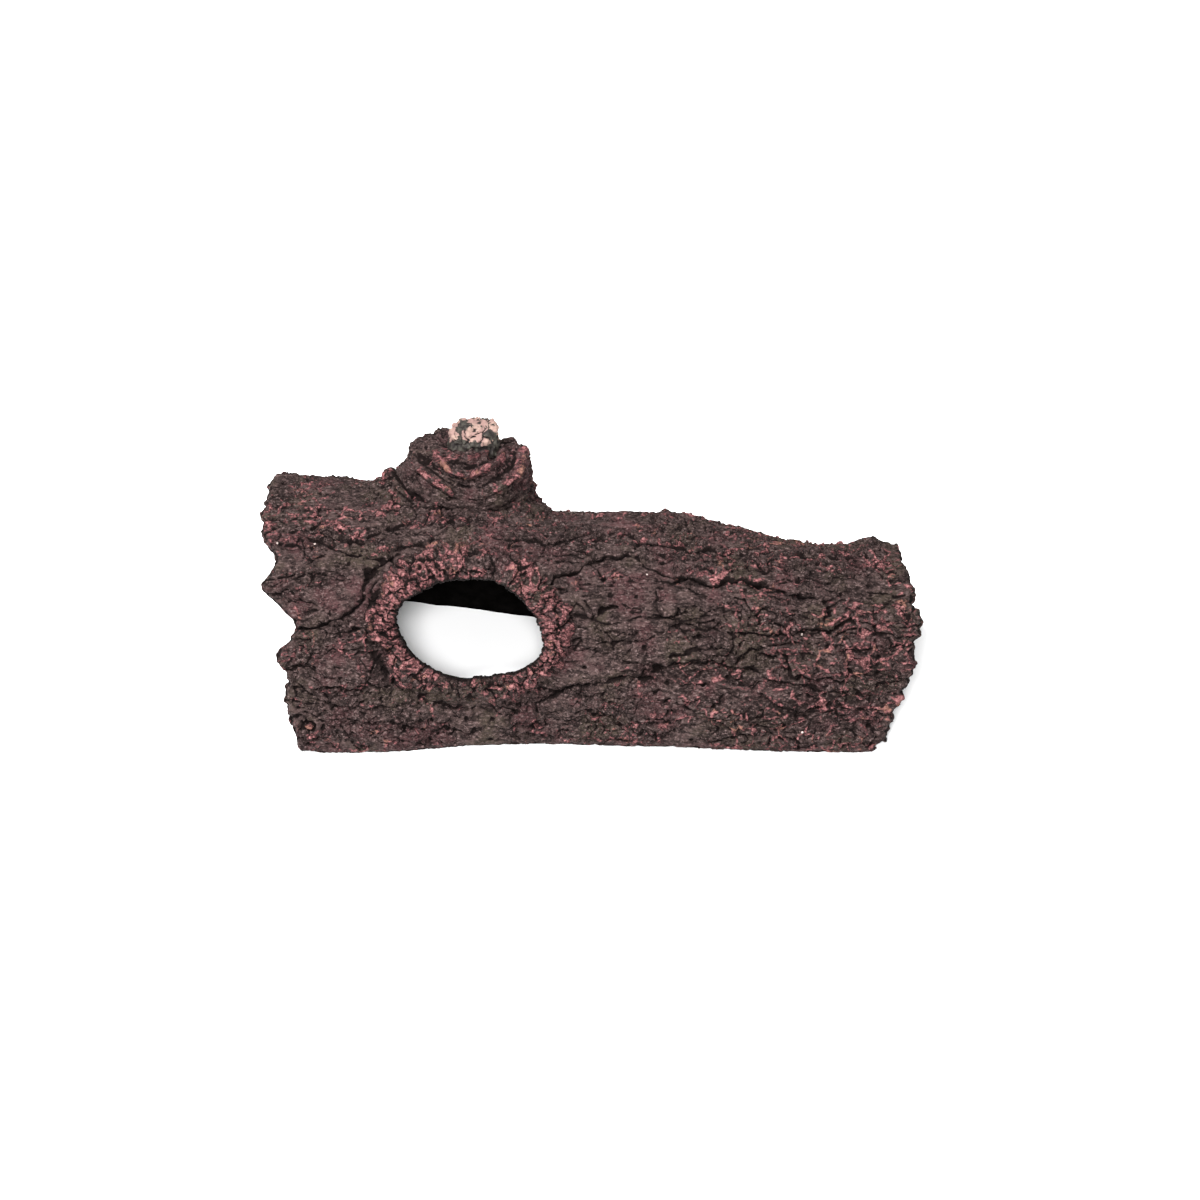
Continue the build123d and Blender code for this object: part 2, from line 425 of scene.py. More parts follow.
# Depths in mm.
GROOVE_DEPTH = 1.7
PIT_DEPTH = 1.3
EDGE_DROP = 1.3                  # how far the bark rounds off at a broken end
FOOT_DROP = 0.9                  # and at the base


def arch_length(x):
    """The length round the arch at x, from the front rim to the back."""
    return np.interp(x, XS, SHEET.length)


def oval(p, x, t, long, high):
    """A soft oval spot: 1 in its middle and 0 well outside it."""
    return np.exp(-(((p[..., 0] - x) / long) ** 2 + ((p[..., 1] - t) / high) ** 2))


def spots(p, table):
    """The largest of a table's soft ovals."""
    return np.max([oval(p, *row) for row in table], axis=0)


def summed(p, table):
    """The sum of a table's soft ovals, each times the last number of its row."""
    return sum(row[-1] * oval(p, *row[:-1]) for row in table)


def grain_line(p, ring, b):
    """t bent round the ring, so that the grain flows past the knot as it does in wood."""
    bend = np.clip(1.35 - ring, 0, 1) ** 2
    return p[..., 1] + 0.35 * b * bend


def bark_cracks(p, noise):
    """The drawn cracks and their ledges, how deep in a crack each point is, 0 to 1, and how far the
    ledges hang over."""
    x, t = np.moveaxis(noise.crook(p, (9, 7), 1.3, (2.6, 2.2), 0.5), -1, 0)
    height = np.zeros(x.shape)
    inside = np.zeros(x.shape)
    hang = np.zeros(x.shape)
    strength = np.clip(0.85 + 0.75 * noise(p + 90, (8, 6), 2), 0.1, 1.4)
    for path, depth, width, ledge in CRACKS:
        gap, side = path_gap(x, t, path)
        cut = np.exp(-((gap / (width * (0.6 + 0.5 * strength))) ** 1.5)) * np.minimum(strength, 1)
        height -= depth * cut
        way = math.copysign(1, ledge)
        above = smooth(-0.2, 0.3, side * way)
        height += abs(ledge) * above * np.exp(-gap / 4.5) * (0.5 + 0.5 * strength)
        hang -= 0.55 * ledge * above * np.exp(-gap / 1.3)
        inside = np.maximum(inside, cut)
    return height, inside, hang


def plates(p, noise, size):
    """Scales of bark of a size: a random number of each scale's own, how far up its scale each point
    is, and how far from the next scale."""
    near, second, offset, own = noise.cells(p, size)
    return own - 0.5, offset[..., 1], second - near


def worms(p, noise, size, width):
    """Thin raised lines that close on themselves, as crumbling bark has: 1 on a line, 0 off it."""
    line = noise(p, size) + 0.35 * noise(p + 13, np.array(size) / 2.3)
    return bell(line, width)


def eyes(p, noise):
    """The small knots: each a raised ring round a pit with a bead in it."""
    height = np.zeros(p.shape[:-1])
    for x, t, radius in EYES:
        r = np.hypot((p[..., 0] - x) / 1.15, p[..., 1] - t) / radius
        r = r + 0.15 * noise(p, (2.5, 2.5), 2)
        height += 0.9 * bell(r - 0.85, 0.26) - 1.5 * bell(r - 0.45, 0.18)
        height -= 0.9 * bell(r - 1.25, 0.18)
    return height


def crumbly(p, noise):
    """How broken up the bark is here, 0 smooth to 1 crumbled."""
    field = noise(p + 200, (22, 13), 3) + 0.35 * smooth(0, 60, p[..., 0])
    return smooth(-0.5, 0.4, field + 0.2 - 1.1 * spots(p, PLAIN))


def lacy(p, noise):
    """How much of a raised net the bark has here, 0 to 1."""
    field = noise(p + 300, (17, 11), 2) + 0.45 * smooth(10, 50, p[..., 0])
    return smooth(-0.15, 0.45, field - 0.8 * spots(p, PLAIN))


def long_scales(crooked, p, noise, outward):
    """Long scales that overlap: their height, how far they hang, and how deep in their cracks."""
    own, up, gap = plates(crooked, noise, SCALE_SIZE)
    broken = smooth(-0.2, 0.35, noise(p + 77, (16, 10), 2))
    cracks = (1 - smooth(0.0, 0.08, gap)) * broken
    height = (1.0 * own + 1.3 * up * outward) * (0.35 + 0.65 * broken) - 1.1 * cracks
    hang = 0.5 * outward * (1 - smooth(0.0, 0.3, gap)) * broken * (up * outward > 0)
    return height, hang, cracks


def chips(crooked, noise, outward, crumb):
    """Small chips where the bark is crumbled: their height, and how deep in their cracks."""
    own, up, gap = plates(crooked * (1, 1.15) + 400, noise, CHIP_SIZE)
    cracks = (1 - smooth(0.0, 0.16, gap)) * smooth(0.1, 0.7, crumb)
    return crumb * (0.6 * own + 0.8 * up * outward) - 0.6 * cracks, cracks


def raised_net(p, noise, lace):
    """The raised net's height, and 1 on its lines and 0 off them."""
    place = noise.crook(p + 800, (8, 6), 2.2, (2.2, 1.8), 0.6)
    gap = plates(place, noise, NET_SIZE)[2]
    net = (1 - smooth(0.03, 0.15, gap)) * lace
    return 0.45 * net - 0.25 * lace * bell(gap - 0.35, 0.25), net


def fine_bark(g, p, noise, crumb):
    """The height of the crumbs, the fibres, the grain and the pits."""
    fibre = noise(g + 5, (8, 0.9)) + 0.6 * noise(g + 6, (4.0, 0.6))
    height = (0.12 + 0.28 * crumb) * noise.crumbs(g + 9, CRUMB_SIZE)
    height += 0.24 * (1 - 0.6 * crumb) * fibre
    height += 0.06 * noise(p + 8, (1.2, 0.9), 2, 0.7)
    pit, _, _, pit_own = noise.cells(p + 600, PIT_SIZE)
    return height - PIT_DEPTH * bell(pit, 0.10) * (pit_own > 0.6)


def ring_groove(p, noise, ring):
    """The groove round the callus ring, 0 to 1, deepest at its thick end."""
    left = smooth(8, -20, p[..., 0] - WINDOW_CENTRE[0])
    broken = smooth(-0.7, 0.3, noise(p + 60, (9, 7), 2))
    return bell(ring - 1.05, 0.12) * (0.25 + 0.85 * left) * broken


def bark_relief(points, x, t, edge):
    """How far the bark stands off the smooth sheet and hangs up or down it, in mm, and what its paint
    needs to know. edge is the distance from the broken ends."""
    noise = Noise(BARK_SEED)
    p = np.stack([x, t], axis=-1)
    top = arch_length(x)
    ring = ring_share(points)
    g = np.stack([x, grain_line(p, ring, window_place(points)[1])], axis=-1)
    crumb = crumbly(p, noise)
    lace = lacy(p, noise)
    outward = np.tanh((t - 0.55 * top) / 8)      # scales overlap away from the ridge on both sides
    crooked = noise.crook(g, (12, 8), 3.0, (3.5, 2.5), 0.7)

    height = 0.8 * noise(p, (38, 26)) + 0.6 * noise(p + 3, (15, 10), 2) + summed(p, HUMPS)
    scale_height, hang, scale_cracks = long_scales(crooked, p, noise, outward)
    chip_height, chip_cracks = chips(crooked, noise, outward, crumb)
    net_height, net = raised_net(p, noise, lace)
    crumb = crumb * (1 - 0.6 * lace * (1 - net))     # the scales inside the net are smooth
    threads = worms(g, noise, THREAD_SIZE, 0.10) * (0.2 + 0.8 * crumb) * (1 - 0.6 * lace)
    cut, inside, ledge_hang = bark_cracks(p, noise)
    groove = ring_groove(p, noise, ring)
    height += scale_height + chip_height + net_height + 0.28 * threads
    height += fine_bark(g, p, noise, crumb) + cut + eyes(p, noise) - GROOVE_DEPTH * groove

    foot = np.minimum(t, top - t)
    calm = smooth(0.0, 3.5, foot)
    height *= 0.35 + 0.65 * calm
    height -= FOOT_DROP * (1 - smooth(0, 2.2, foot)) + EDGE_DROP * (1 - smooth(0, 1.6, edge)) ** 2
    cracks = np.maximum(inside, np.maximum(0.6 * scale_cracks, 0.4 * chip_cracks))
    lines = np.maximum(net, 0.8 * threads)
    marks = {"p": p, "lines": lines, "crumb": crumb, "cracks": cracks, "groove": groove}
    return height, (hang + ledge_hang) * calm, marks


# ======== paint
# Where the red dry-brushing is heavier or lighter on the bark: x, t, half length, half height, strength.
RED_PATCHES = (
    (-90, 76, 10, 18, 0.55), (-74, 80, 14, 9, 0.4), (-88, 33, 7, 9, 0.15), (38, 61, 22, 6, 0.15),
    (48, 47, 14, 7, 0.25), (74, 34, 14, 14, 0.45), (50, 17, 36, 13, 0.3), (92, 40, 6, 26, 0.4),
    (-22, 70, 16, 6, 0.1), (25, 68, 16, 4, 0.2), (10, 44, 20, 15, -0.35), (-78, 48, 14, 6, -0.3),
    (-72, 62, 16, 5, -0.35), (-40, 4, 30, 4, -0.15), (-84, 9, 3, 3, 0.6), (-60, 120, 25, 14, 0.2),
    (55, 74, 36, 9, 0.3), (60, 2, 44, 4, 0.3), (-60, 2, 40, 3, 0.25), (-15, 84, 22, 8, 0.25),
    (40, 112, 26, 10, 0.25), (-40, 78, 18, 8, -0.15), (-50, 12, 25, 10, -0.1),
)
# Where the bark is painted darker, in blotches: x, t, half length and half height.
DARK_PATCHES = ((62, 17, 42, 13), (24, 27, 24, 6), (84, 30, 14, 10), (-64, 30, 8, 16), (-30, 88, 30, 5))


def brushed(height, lines, region, step):
    """How much red a dry brush leaves, on raised lines and on whatever stands proud, and how black the
    hollows are painted, as their shade. step is the mesh's fineness in mm."""
    fine = height - blur(height, 0.9 / step)
    broad = height - blur(height, 3.2 / step)
    proud = smooth(0.1, 0.45, fine + 0.25 * broad)
    on_lines = 1.1 * lines * smooth(-0.2, 0.3, region)
    red = np.maximum(on_lines, 0.85 * proud * smooth(0.2, 0.8, region))
    # the black is painted shade, deepest in the hollows
    return red, smooth(-0.12, -0.9, 1.3 * fine + 0.6 * broad)


def layers(red, black, last):
    """The paint's three layers as one array. The last is how crumbled bark is, or how pink cream is."""
    grids = np.broadcast_arrays(np.clip(red, 0, 1), np.clip(black, 0, 1), last)
    return np.stack(grids, axis=-1)


def bark_paint(height, marks):
    """The bark's paint layers: red on the ridges, black as painted shade in the hollows, cracks and
    groove, and how crumbled it is.
    """
    noise = Noise(PAINT_SEED)
    p = marks["p"]
    region = 0.08 + 0.42 * noise(p, (15, 10), 3) + 0.3 * noise(p + 40, (3.5, 2.6), 2)
    red, hollow = brushed(height, marks["lines"], region + summed(p, RED_PATCHES), BARK_GRAIN)
    red = np.clip(red, 0, 1)
    # painted shade: black in the cracks and in the groove round the ring
    cracks = smooth(0.25, 0.8, marks["cracks"])
    black = np.maximum(hollow, np.maximum(cracks, 0.7 * marks["groove"]))
    # darker blotches: a share of black over the listed patches, less where red is brushed
    dark_patch = spots(p, DARK_PATCHES) * (0.58 + 0.14 * noise(p + 21, (7, 5), 2)) * (1 - 0.8 * red)
    return layers(red, np.maximum(black, dark_patch), marks["crumb"])


# ======== meshes
def numbers(start, rows, columns):
    """A grid of vertex numbers, row by row from start."""
    return start + np.arange(rows * columns).reshape(rows, columns)


def quads(index):
    """Quads of a grid of vertex numbers."""
    corners = (index[:-1, :-1], index[:-1, 1:], index[1:, 1:], index[1:, :-1])
    return np.stack([c.ravel() for c in corners], axis=-1)


def zip_faces(a, a_at, b, b_at):
    """Triangles between two rows of vertices, which a_at and b_at place along the seam."""
    faces = []
    i = j = 0
    while i < len(a) - 1 or j < len(b) - 1:
        if j == len(b) - 1 or (i < len(a) - 1 and a_at[i + 1] <= b_at[j + 1]):
            faces.append((a[i], a[i + 1], b[j]))
            i += 1
        else:
            faces.append((a[i], b[j + 1], b[j]))
            j += 1
    return faces


def wrapped_faces(count, steps):
    """Faces of a closed form of count rows round it and steps up it, whose last two points close its
    bottom and its top."""
    wrap = np.pad(numbers(0, count, steps), ((0, 1), (0, 0)), mode="wrap")
    bottom, top = count * steps, count * steps + 1
    faces = quads(wrap).tolist()
    faces += [(wrap[i, 0], wrap[i + 1, 0], bottom) for i in range(count)]
    faces += [(wrap[i + 1, -1], wrap[i, -1], top) for i in range(count)]
    return faces


def tidy_mesh(mesh):
    """Drops the vertices that no face uses and turns every face outwards."""
    bm = bmesh.new()
    bm.from_mesh(mesh)
    loose = [v for v in bm.verts if not v.link_faces]
    bmesh.ops.delete(bm, geom=loose, context="VERTS")
    bmesh.ops.recalc_face_normals(bm, faces=bm.faces)
    bm.to_mesh(mesh)
    bm.free()
    mesh.shade_smooth()


def make_piece(name, points, faces, paint, materials, node, kinds=None):
    """A piece from points in mm, which rides the log and stands for one CAD node. kinds says which of
    the materials each face has, where there are two."""
    mesh = bpy.data.meshes.new(name)
    mesh.from_pydata((points * MM).tolist(), [], faces)
    for material in materials:
        mesh.materials.append(material)
    if kinds is not None:
        mesh.polygons.foreach_set("material_index", kinds)
    layer = mesh.attributes.new("paint", "FLOAT_COLOR", "POINT")
    colours = np.concatenate([paint, np.ones((len(paint), 1))], axis=1)
    layer.data.foreach_set("color", colours.astype(np.float32).ravel())
    tidy_mesh(mesh)
    piece = bpy.data.objects.new(name, mesh)
    bpy.context.scene.collection.objects.link(piece)
    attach(piece, "root")
    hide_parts(node)


def jagged(noise, share, side):
    """How far the broken end runs past the CAD's outline, in mm."""
    p = np.stack([share * ARCH, np.full(share.shape, 40.0 * side)], axis=-1)
    return 1.2 * noise(p, (6, 9), 2) + 0.4 * noise(p + 5, (2.2, 9), 2)


def outer_bark():
    """The outside of the shell: a grid of points, their paint, and their share of the window's ring."""
    columns, rows = BARK_STEPS
    noise = Noise(EDGE_SEED)
    share = np.linspace(0, 1, rows)[:, None] * np.ones((1, columns))
    low = SHEET.end(0, share[:, :1]) - jagged(noise, share[:, :1], 0) + END_INSET
    high = SHEET.end(1, share[:, :1]) + jagged(noise, share[:, :1], 1) - END_INSET
    x = low + (high - low) * np.linspace(0, 1, columns)[None, :]
    sheet = SHEET.points(x, share)
    upward = unit(np.gradient(sheet, axis=0))
    edge = np.minimum(x - low, high - x)
    height, hang, marks = bark_relief(sheet, x, SHEET.t(x, share), edge)
    points = sheet + grid_normals(sheet) * height[..., None] + upward * hang[..., None]
    for row, shift in ((0, 0), (-1, 9)):     # the base isn't quite flat, and its edge not quite straight
        lift = noise(np.stack([x[row], np.full(columns, 70.0 + shift)], axis=-1), (14, 9), 2)
        points[row, :, 2] = 1.0 * np.clip(lift + 0.1, 0, 1)
        points[row, :, 1] += (0.6 if row else -0.6) * lift
    return points, bark_paint(height, marks), ring_share(sheet)


def inner_wall(low, high):
    """The inside of the shell, between the outside's ends in x: the smooth sheet moved in by the wall,
    with a cast surface."""
    columns, rows = INNER_STEPS
    share = np.linspace(0, 1, rows)[:, None] * np.ones((1, columns))
    at = np.linspace(0, 1, len(low))
    low = np.interp(share[:, :1], at, low) + INNER_INSET
    high = np.interp(share[:, :1], at, high) - INNER_INSET
    x = low + (high - low) * np.linspace(0, 1, columns)[None, :]
    sheet = SHEET.points(x, share)
    noise = Noise(INNER_SEED)
    p = np.stack([x, SHEET.t(x, share)], axis=-1)
    depth = WALL + 0.5 * noise(p, (18, 12), 2) + 0.25 * noise(p, (5, 4))
    points = sheet - grid_normals(sheet) * depth[..., None]
    points[0, :, 2] = points[-1, :, 2] = 0
    return points


def open_edges(faces):
    """Edges that only one face uses, as pairs of vertices."""
    edges = np.concatenate([faces[:, [i, (i + 1) % 4]] for i in range(4)])
    pairs, counts = np.unique(np.sort(edges, axis=1), axis=0, return_counts=True)
    return pairs[counts == 1]


def drop_pinches(faces):
    """Drops faces until no vertex on an open edge joins two separate corners."""
    while True:
        vertices, counts = np.unique(open_edges(faces), return_counts=True)
        pinched = vertices[counts > 2]
        if not len(pinched):
            return faces
        faces = faces[~np.isin(faces, pinched).any(axis=1)]


def walk_round(pairs):
    """The vertices of one closed line of edges, in order."""
    beside = {}
    for a, b in pairs.tolist():
        beside.setdefault(a, []).append(b)
        beside.setdefault(b, []).append(a)
    line = [int(pairs[0, 0]), int(pairs[0, 1])]
    while True:
        ahead = next(v for v in beside[line[-1]] if v != line[-2])
        if ahead == line[0]:
            return np.array(line)
        line.append(ahead)


def cut_window(points, faces, ring):
    """Drops the faces inside the window and draws the ragged edge onto a clean oval. Returns the faces
    that stay, and the oval's vertices in order with their angles round the window."""
    faces = drop_pinches(faces[ring[faces].mean(axis=1) > HOLE_SHARE])
    pairs = open_edges(faces)
    rim = walk_round(pairs[(ring[pairs] < HOLE_SHARE + 0.6).all(axis=1)])
    oval = OPENING + (RING_FOOT - OPENING) * HOLE_SHARE
    a, b, _ = window_place(points[rim])
    move = 1 / np.hypot(a / oval[0], b / oval[1]) - 1
    points[rim] += (move * a)[:, None] * LONG + (move * b)[:, None] * SHORT
    angle = np.arctan2(b / oval[1], a / oval[0])
    if np.unwrap(angle)[-1] < angle[0]:
        rim, angle = rim[::-1], angle[::-1]
    first = np.argmin(np.abs(angle))
    angle = np.unwrap(np.roll(angle, -first))
    return faces, np.roll(rim, -first), np.maximum.accumulate(angle)


def rim_strip(outer_line, inner_line, side):
    """The broken face of one end of the wall: a grid of points between its outer and inner edges,
    and their paint."""
    noise = Noise(RIM_SEED)
    at = np.linspace(0, 1, len(outer_line))
    in_at = np.linspace(0, 1, len(inner_line))
    inner = np.stack([np.interp(at, in_at, v) for v in inner_line.T], axis=-1)
    part = np.arange(1, RIM_STEPS + 1) / (RIM_STEPS + 1)
    points = outer_line[:, None] * (1 - part[:, None]) + inner[:, None] * part[:, None]
    p = np.stack(np.broadcast_arrays(at[:, None] * ARCH, part * 6 + 30 * side), axis=-1)
    push = 0.9 * noise(p, (3.5, 2.5), 2) + 0.5 * np.sin(np.pi * part)
    points[..., 0] += push * (-1 if side == 0 else 1)
    points[[0, -1], :, 2] = 0
    depth = np.broadcast_to(part, points.shape[:2])
    return points, layers(0.4 * (1 - depth), 0.15 + 0.6 * depth, 0.5)


def looped(line, angles):
    """A closed line of vertices and their angles, with the first one again at the end."""
    return np.append(line, line[0]), np.append(angles, angles[0] + 2 * math.pi)


def shell_walls(outside, inside, ring):
    """The faces of both walls with the window cut through them, those that join them round the window,
    and the material of each. The points round the window are moved onto its oval."""
    outer = cut_window(outside.reshape(-1, 3), quads(numbers(0, *outside.shape[:2])), ring.ravel())
    inner_points = inside.reshape(-1, 3)
    inner_quads = quads(numbers(0, *inside.shape[:2]))
    inner = cut_window(inner_points, inner_quads, ring_share(inner_points))
    start = ring.size
    sleeve = zip_faces(*looped(*outer[1:]), *looped(inner[1] + start, inner[2]))
    kinds = [0] * len(outer[0]) + [1] * len(inner[0]) + [0] * len(sleeve)
    return outer[0].tolist() + (inner[0] + start).tolist() + sleeve, kinds


def end_faces(edge, strip_ids, outer_ids, inner_ids):
    """The faces of one broken end, from the outside's edge over the strip to the inside's edge."""
    band = np.concatenate([outer_ids[:, edge][:, None], strip_ids], axis=1)
    at, in_at = (np.linspace(0, 1, len(ids)) for ids in (strip_ids, inner_ids))
    return quads(band).tolist() + zip_faces(strip_ids[:, -1], at, inner_ids[:, edge], in_at)


def make_shell(materials):
    outside, paint, ring = outer_bark()
    inside = inner_wall(outside[:, 0, 0], outside[:, -1, 0])
    faces, kinds = shell_walls(outside, inside, ring)
    outer_ids = numbers(0, *outside.shape[:2])
    inner_ids = numbers(outer_ids.size, *inside.shape[:2])
    grids = [outside, inside]
    # the inside's paint is black all over, painted shade that the sleeve and the ends blend into
    paints = [paint, layers(np.zeros(inside.shape[:2]), 1, 0.3)]
    strips = []
    for side, edge in enumerate((0, -1)):
        strip, strip_paint = rim_strip(outside[:, edge], inside[:, edge], side)
        ids = numbers(sum(g[..., 0].size for g in grids), *strip.shape[:2])
        faces += end_faces(edge, ids, outer_ids, inner_ids)
        grids.append(strip)
        paints.append(strip_paint)
        strips.append(ids)

    points, colours = (np.concatenate([g.reshape(-1, 3) for g in some]) for some in (grids, paints))
    for row in (0, -1):          # the flat underside of each rim
        line = np.concatenate([strips[0][row][::-1], outer_ids[row], strips[1][row]])
        faces += zip_faces(line, points[line, 0], inner_ids[row], points[inner_ids[row], 0])
    kinds += [0] * (len(faces) - len(kinds))
    make_piece("bark_shell", points, faces, colours, materials, "log_shell", kinds)


# ======== the ring round the window
def sheet_trees():
    """The smooth outside and inside of the wall, with no window, to cast rays on."""
    x, share = np.meshgrid(np.arange(-96, 60, 1.5), np.linspace(0.02, 0.98, 120), indexing="ij")
    sheet = SHEET.points(x, share)
    faces = quads(numbers(0, *x.shape)).tolist()
    normals = facing(grid_normals(sheet), (0, 0, 1))
    return [
        BVHTree.FromPolygons((sheet - normals * depth).reshape(-1, 3).tolist(), faces)
        for depth in (0, WALL)
    ]


OUTER_TREE, INNER_TREE = sheet_trees()


def cast(tree, starts, direction):
    """Distances from each start along direction to a tree's surface."""
    way = Vector(direction)
    found = [0.0]
    for start in starts:
        gap = tree.ray_cast(Vector(start), way)[3]
        found.append(found[-1] if gap is None else gap)      # a ray between two faces copies the last one
    return np.array(found[1:])


# The ring's section: share of the way from the foot to the opening, height off the bark in parts of
# RING_PROUD, and how far down through the wall.
RING_SECTION = (
    (-0.08, -0.75, 0), (0.0, -0.1, 0), (0.12, 0.5, 0), (0.3, 0.88, 0), (0.5, 1.0, 0), (0.7, 0.9, 0),
    (0.86, 0.55, 0), (0.96, 0.1, 0), (1.0, -0.3, 0.08), (1.0, -0.1, 0.45), (0.99, 0.0, 0.85),
    (0.95, -0.15, 1.0), (0.8, -0.12, 1.0), (0.6, 0.0, 0.85), (0.3, 0.0, 0.6), (0.1, -0.1, 0.4),
)


def ring_section(count):
    """The section as a closed smooth line of count points."""
    knots = np.array(RING_SECTION)
    closed = np.concatenate([knots, knots[:1]])
    length = np.linalg.norm(np.diff(closed * (9, 4, 6), axis=0), axis=1)
    at = np.concatenate([[0], np.cumsum(length)])
    fine = np.linspace(0, at[-1], count, endpoint=False)
    line = np.stack([np.interp(fine, at, closed[:, k]) for k in range(3)], axis=-1)
    return (np.roll(line, 1, axis=0) + 2 * line + np.roll(line, -1, axis=0)) / 4


def full_turn(count):
    return np.linspace(0, 2 * math.pi, count, endpoint=False)


def tube(turn, radius, along):
    """A plain tube's points, by turn round it and by distance along it."""
    x, y = np.cos(turn)[:, None] * radius, np.sin(turn)[:, None] * radius
    return np.stack(np.broadcast_arrays(x, y, along), axis=-1)


def closed_normals(points, way):
    """Unit normals of a grid whose rows close on themselves, turned to point along way."""
    return facing(grid_normals(np.concatenate([points[-1:], points, points[:1]]))[1:-1], way)


def turn_gap(turn, degrees):
    """How far each turn is from an angle, in radians."""
    return np.abs(np.angle(np.exp(1j * (turn - math.radians(degrees)))))


def ring_base(noise, turn, section):
    """The ring without its relief: a grid of points round the window and round the section."""
    unit_ring = np.stack([np.cos(turn), np.sin(turn)], axis=-1)
    place = np.concatenate([unit_ring * 30, np.zeros((len(turn), 1))], axis=1)
    opening = 1 + 0.03 * noise(place, 13, 2) + 0.035 * np.cos(4 * turn + 0.6)
    opening = opening + 0.04 * bell(turn_gap(turn, -38), 0.3)        # squarer at its lower right
    reach = 1 + 0.06 * noise(place + 60, 12, 2) + 0.07 * np.sin(turn)
    inner = unit_ring * OPENING * opening[:, None]
    foot = unit_ring * RING_FOOT * reach[:, None]
    plan = foot[:, None] + (inner - foot)[:, None] * section[None, :, :1]
    flat = WINDOW_CENTRE + plan[..., :1] * LONG + plan[..., 1:] * SHORT
    starts = (flat + OUT * RAY_START).reshape(-1, 3).tolist()
    top, bottom = (
        RAY_START - cast(tree, starts, tuple(-OUT)).reshape(plan.shape[:2])
        for tree in (OUTER_TREE, INNER_TREE)
    )
    proud = RING_PROUD * (1 + 0.35 * noise(place + 20, 10, 2))
    down = section[:, 2][None, :]
    level = top * (1 - down) + bottom * down + section[:, 1][None, :] * proud[:, None]
    return flat + OUT * level[..., None]


def buried(section):
    """1 where the ring's section is down inside the wall."""
    return smooth(0.25, 0.9, section[:, 2])


def lip(section):
    """1 on the edge of the opening."""
    return smooth(0.84, 0.98, section[:, 0])


def ring_relief(noise, spin, section):
    """The ring's lumps, net, threads and pits, in mm, with its raised lines and its clefts."""
    crooked = noise.crook(spin, 7, 2.0, 2.2, 0.6)
    own, _, gap = plates(crooked, noise, (6.0, 6.0, 7.5))
    clefts = 1 - smooth(0.0, 0.14, gap)
    net = 1 - smooth(0.05, 0.3, plates(crooked + 40, noise, (3.6, 3.6, 3.4))[2])
    threads = worms(spin + 30, noise, (3.8, 3.8, 6.5), 0.16)
    pits, _, _, pit_own = noise.cells(spin + 9, (5.0, 5.0, 4.5))
    relief = 1.1 * noise(spin, 9, 2) + 1.5 * own - 0.9 * clefts
    relief += 0.4 * net + 0.3 * threads + 0.6 * noise.crumbs(spin + 60, 2.8)
    relief -= 1.3 * bell(pits, 0.17) * (pit_own > 0.45)
    relief += 0.12 * noise(spin + 90, (1.0, 1.0, 1.2), 2)
    relief = relief * (1 - 0.8 * buried(section)) * (1 - 0.55 * lip(section)) - 0.25
    return relief, np.maximum(net, 0.8 * threads), clefts


def ring_paint(noise, spin, turn, section, relief, lines, clefts):
    """Red is heaviest at the ring's two sides, and lightest over the top. Black is painted shade: in the
    hollows and clefts, on the opening's lip, at the foot and down inside the wall.
    """
    share = section[:, 0]
    region = 0.62 * np.abs(np.cos(turn + 0.1)) ** 1.5 + 0.35 * bell(turn_gap(turn, 140), 0.6)
    region -= 0.1 * bell(turn_gap(turn, -90), 0.4)
    region = region[:, None] + 0.35 * noise(spin + 15, 4, 3)
    red, hollow = brushed(relief, lines, region, RING_GRAIN)
    red = red * smooth(1.0, 0.84, share) * smooth(-0.06, 0.12, share)
    # painted shade at the foot, heavier towards the log's thick end
    left = smooth(0.4, -0.6, np.cos(turn))[:, None]
    # painted shade in the hollows, the clefts and on the opening's lip
    black = np.maximum(np.maximum(hollow, 0.6 * clefts), 0.8 * lip(section))
    black = np.maximum(black, smooth(0.08, -0.04, share) * (0.3 + 0.6 * left))
    return layers(red, np.maximum(black, buried(section)), 0.8)


def make_ring(material):
    count, around = RING_STEPS
    noise = Noise(RING_SEED)
    turn = full_turn(count)
    section = ring_section(around)
    base = ring_base(noise, turn, section)
    normals = closed_normals(base, base - base.mean(axis=1, keepdims=True))
    spin = tube(turn, RING_TUBE, section[:, 0] * RING_WIDE)
    relief, lines, clefts = ring_relief(noise, spin, section)
    points = base + normals * relief[..., None]
    paint = ring_paint(noise, spin, turn, section, relief, lines, clefts)
    faces = quads(np.pad(numbers(0, count, around), (0, 1), mode="wrap")).tolist()
    points, paint = points.reshape(-1, 3), paint.reshape(-1, 3)
    make_piece("callus_ring", points, faces, paint, [material], "knot_collar")


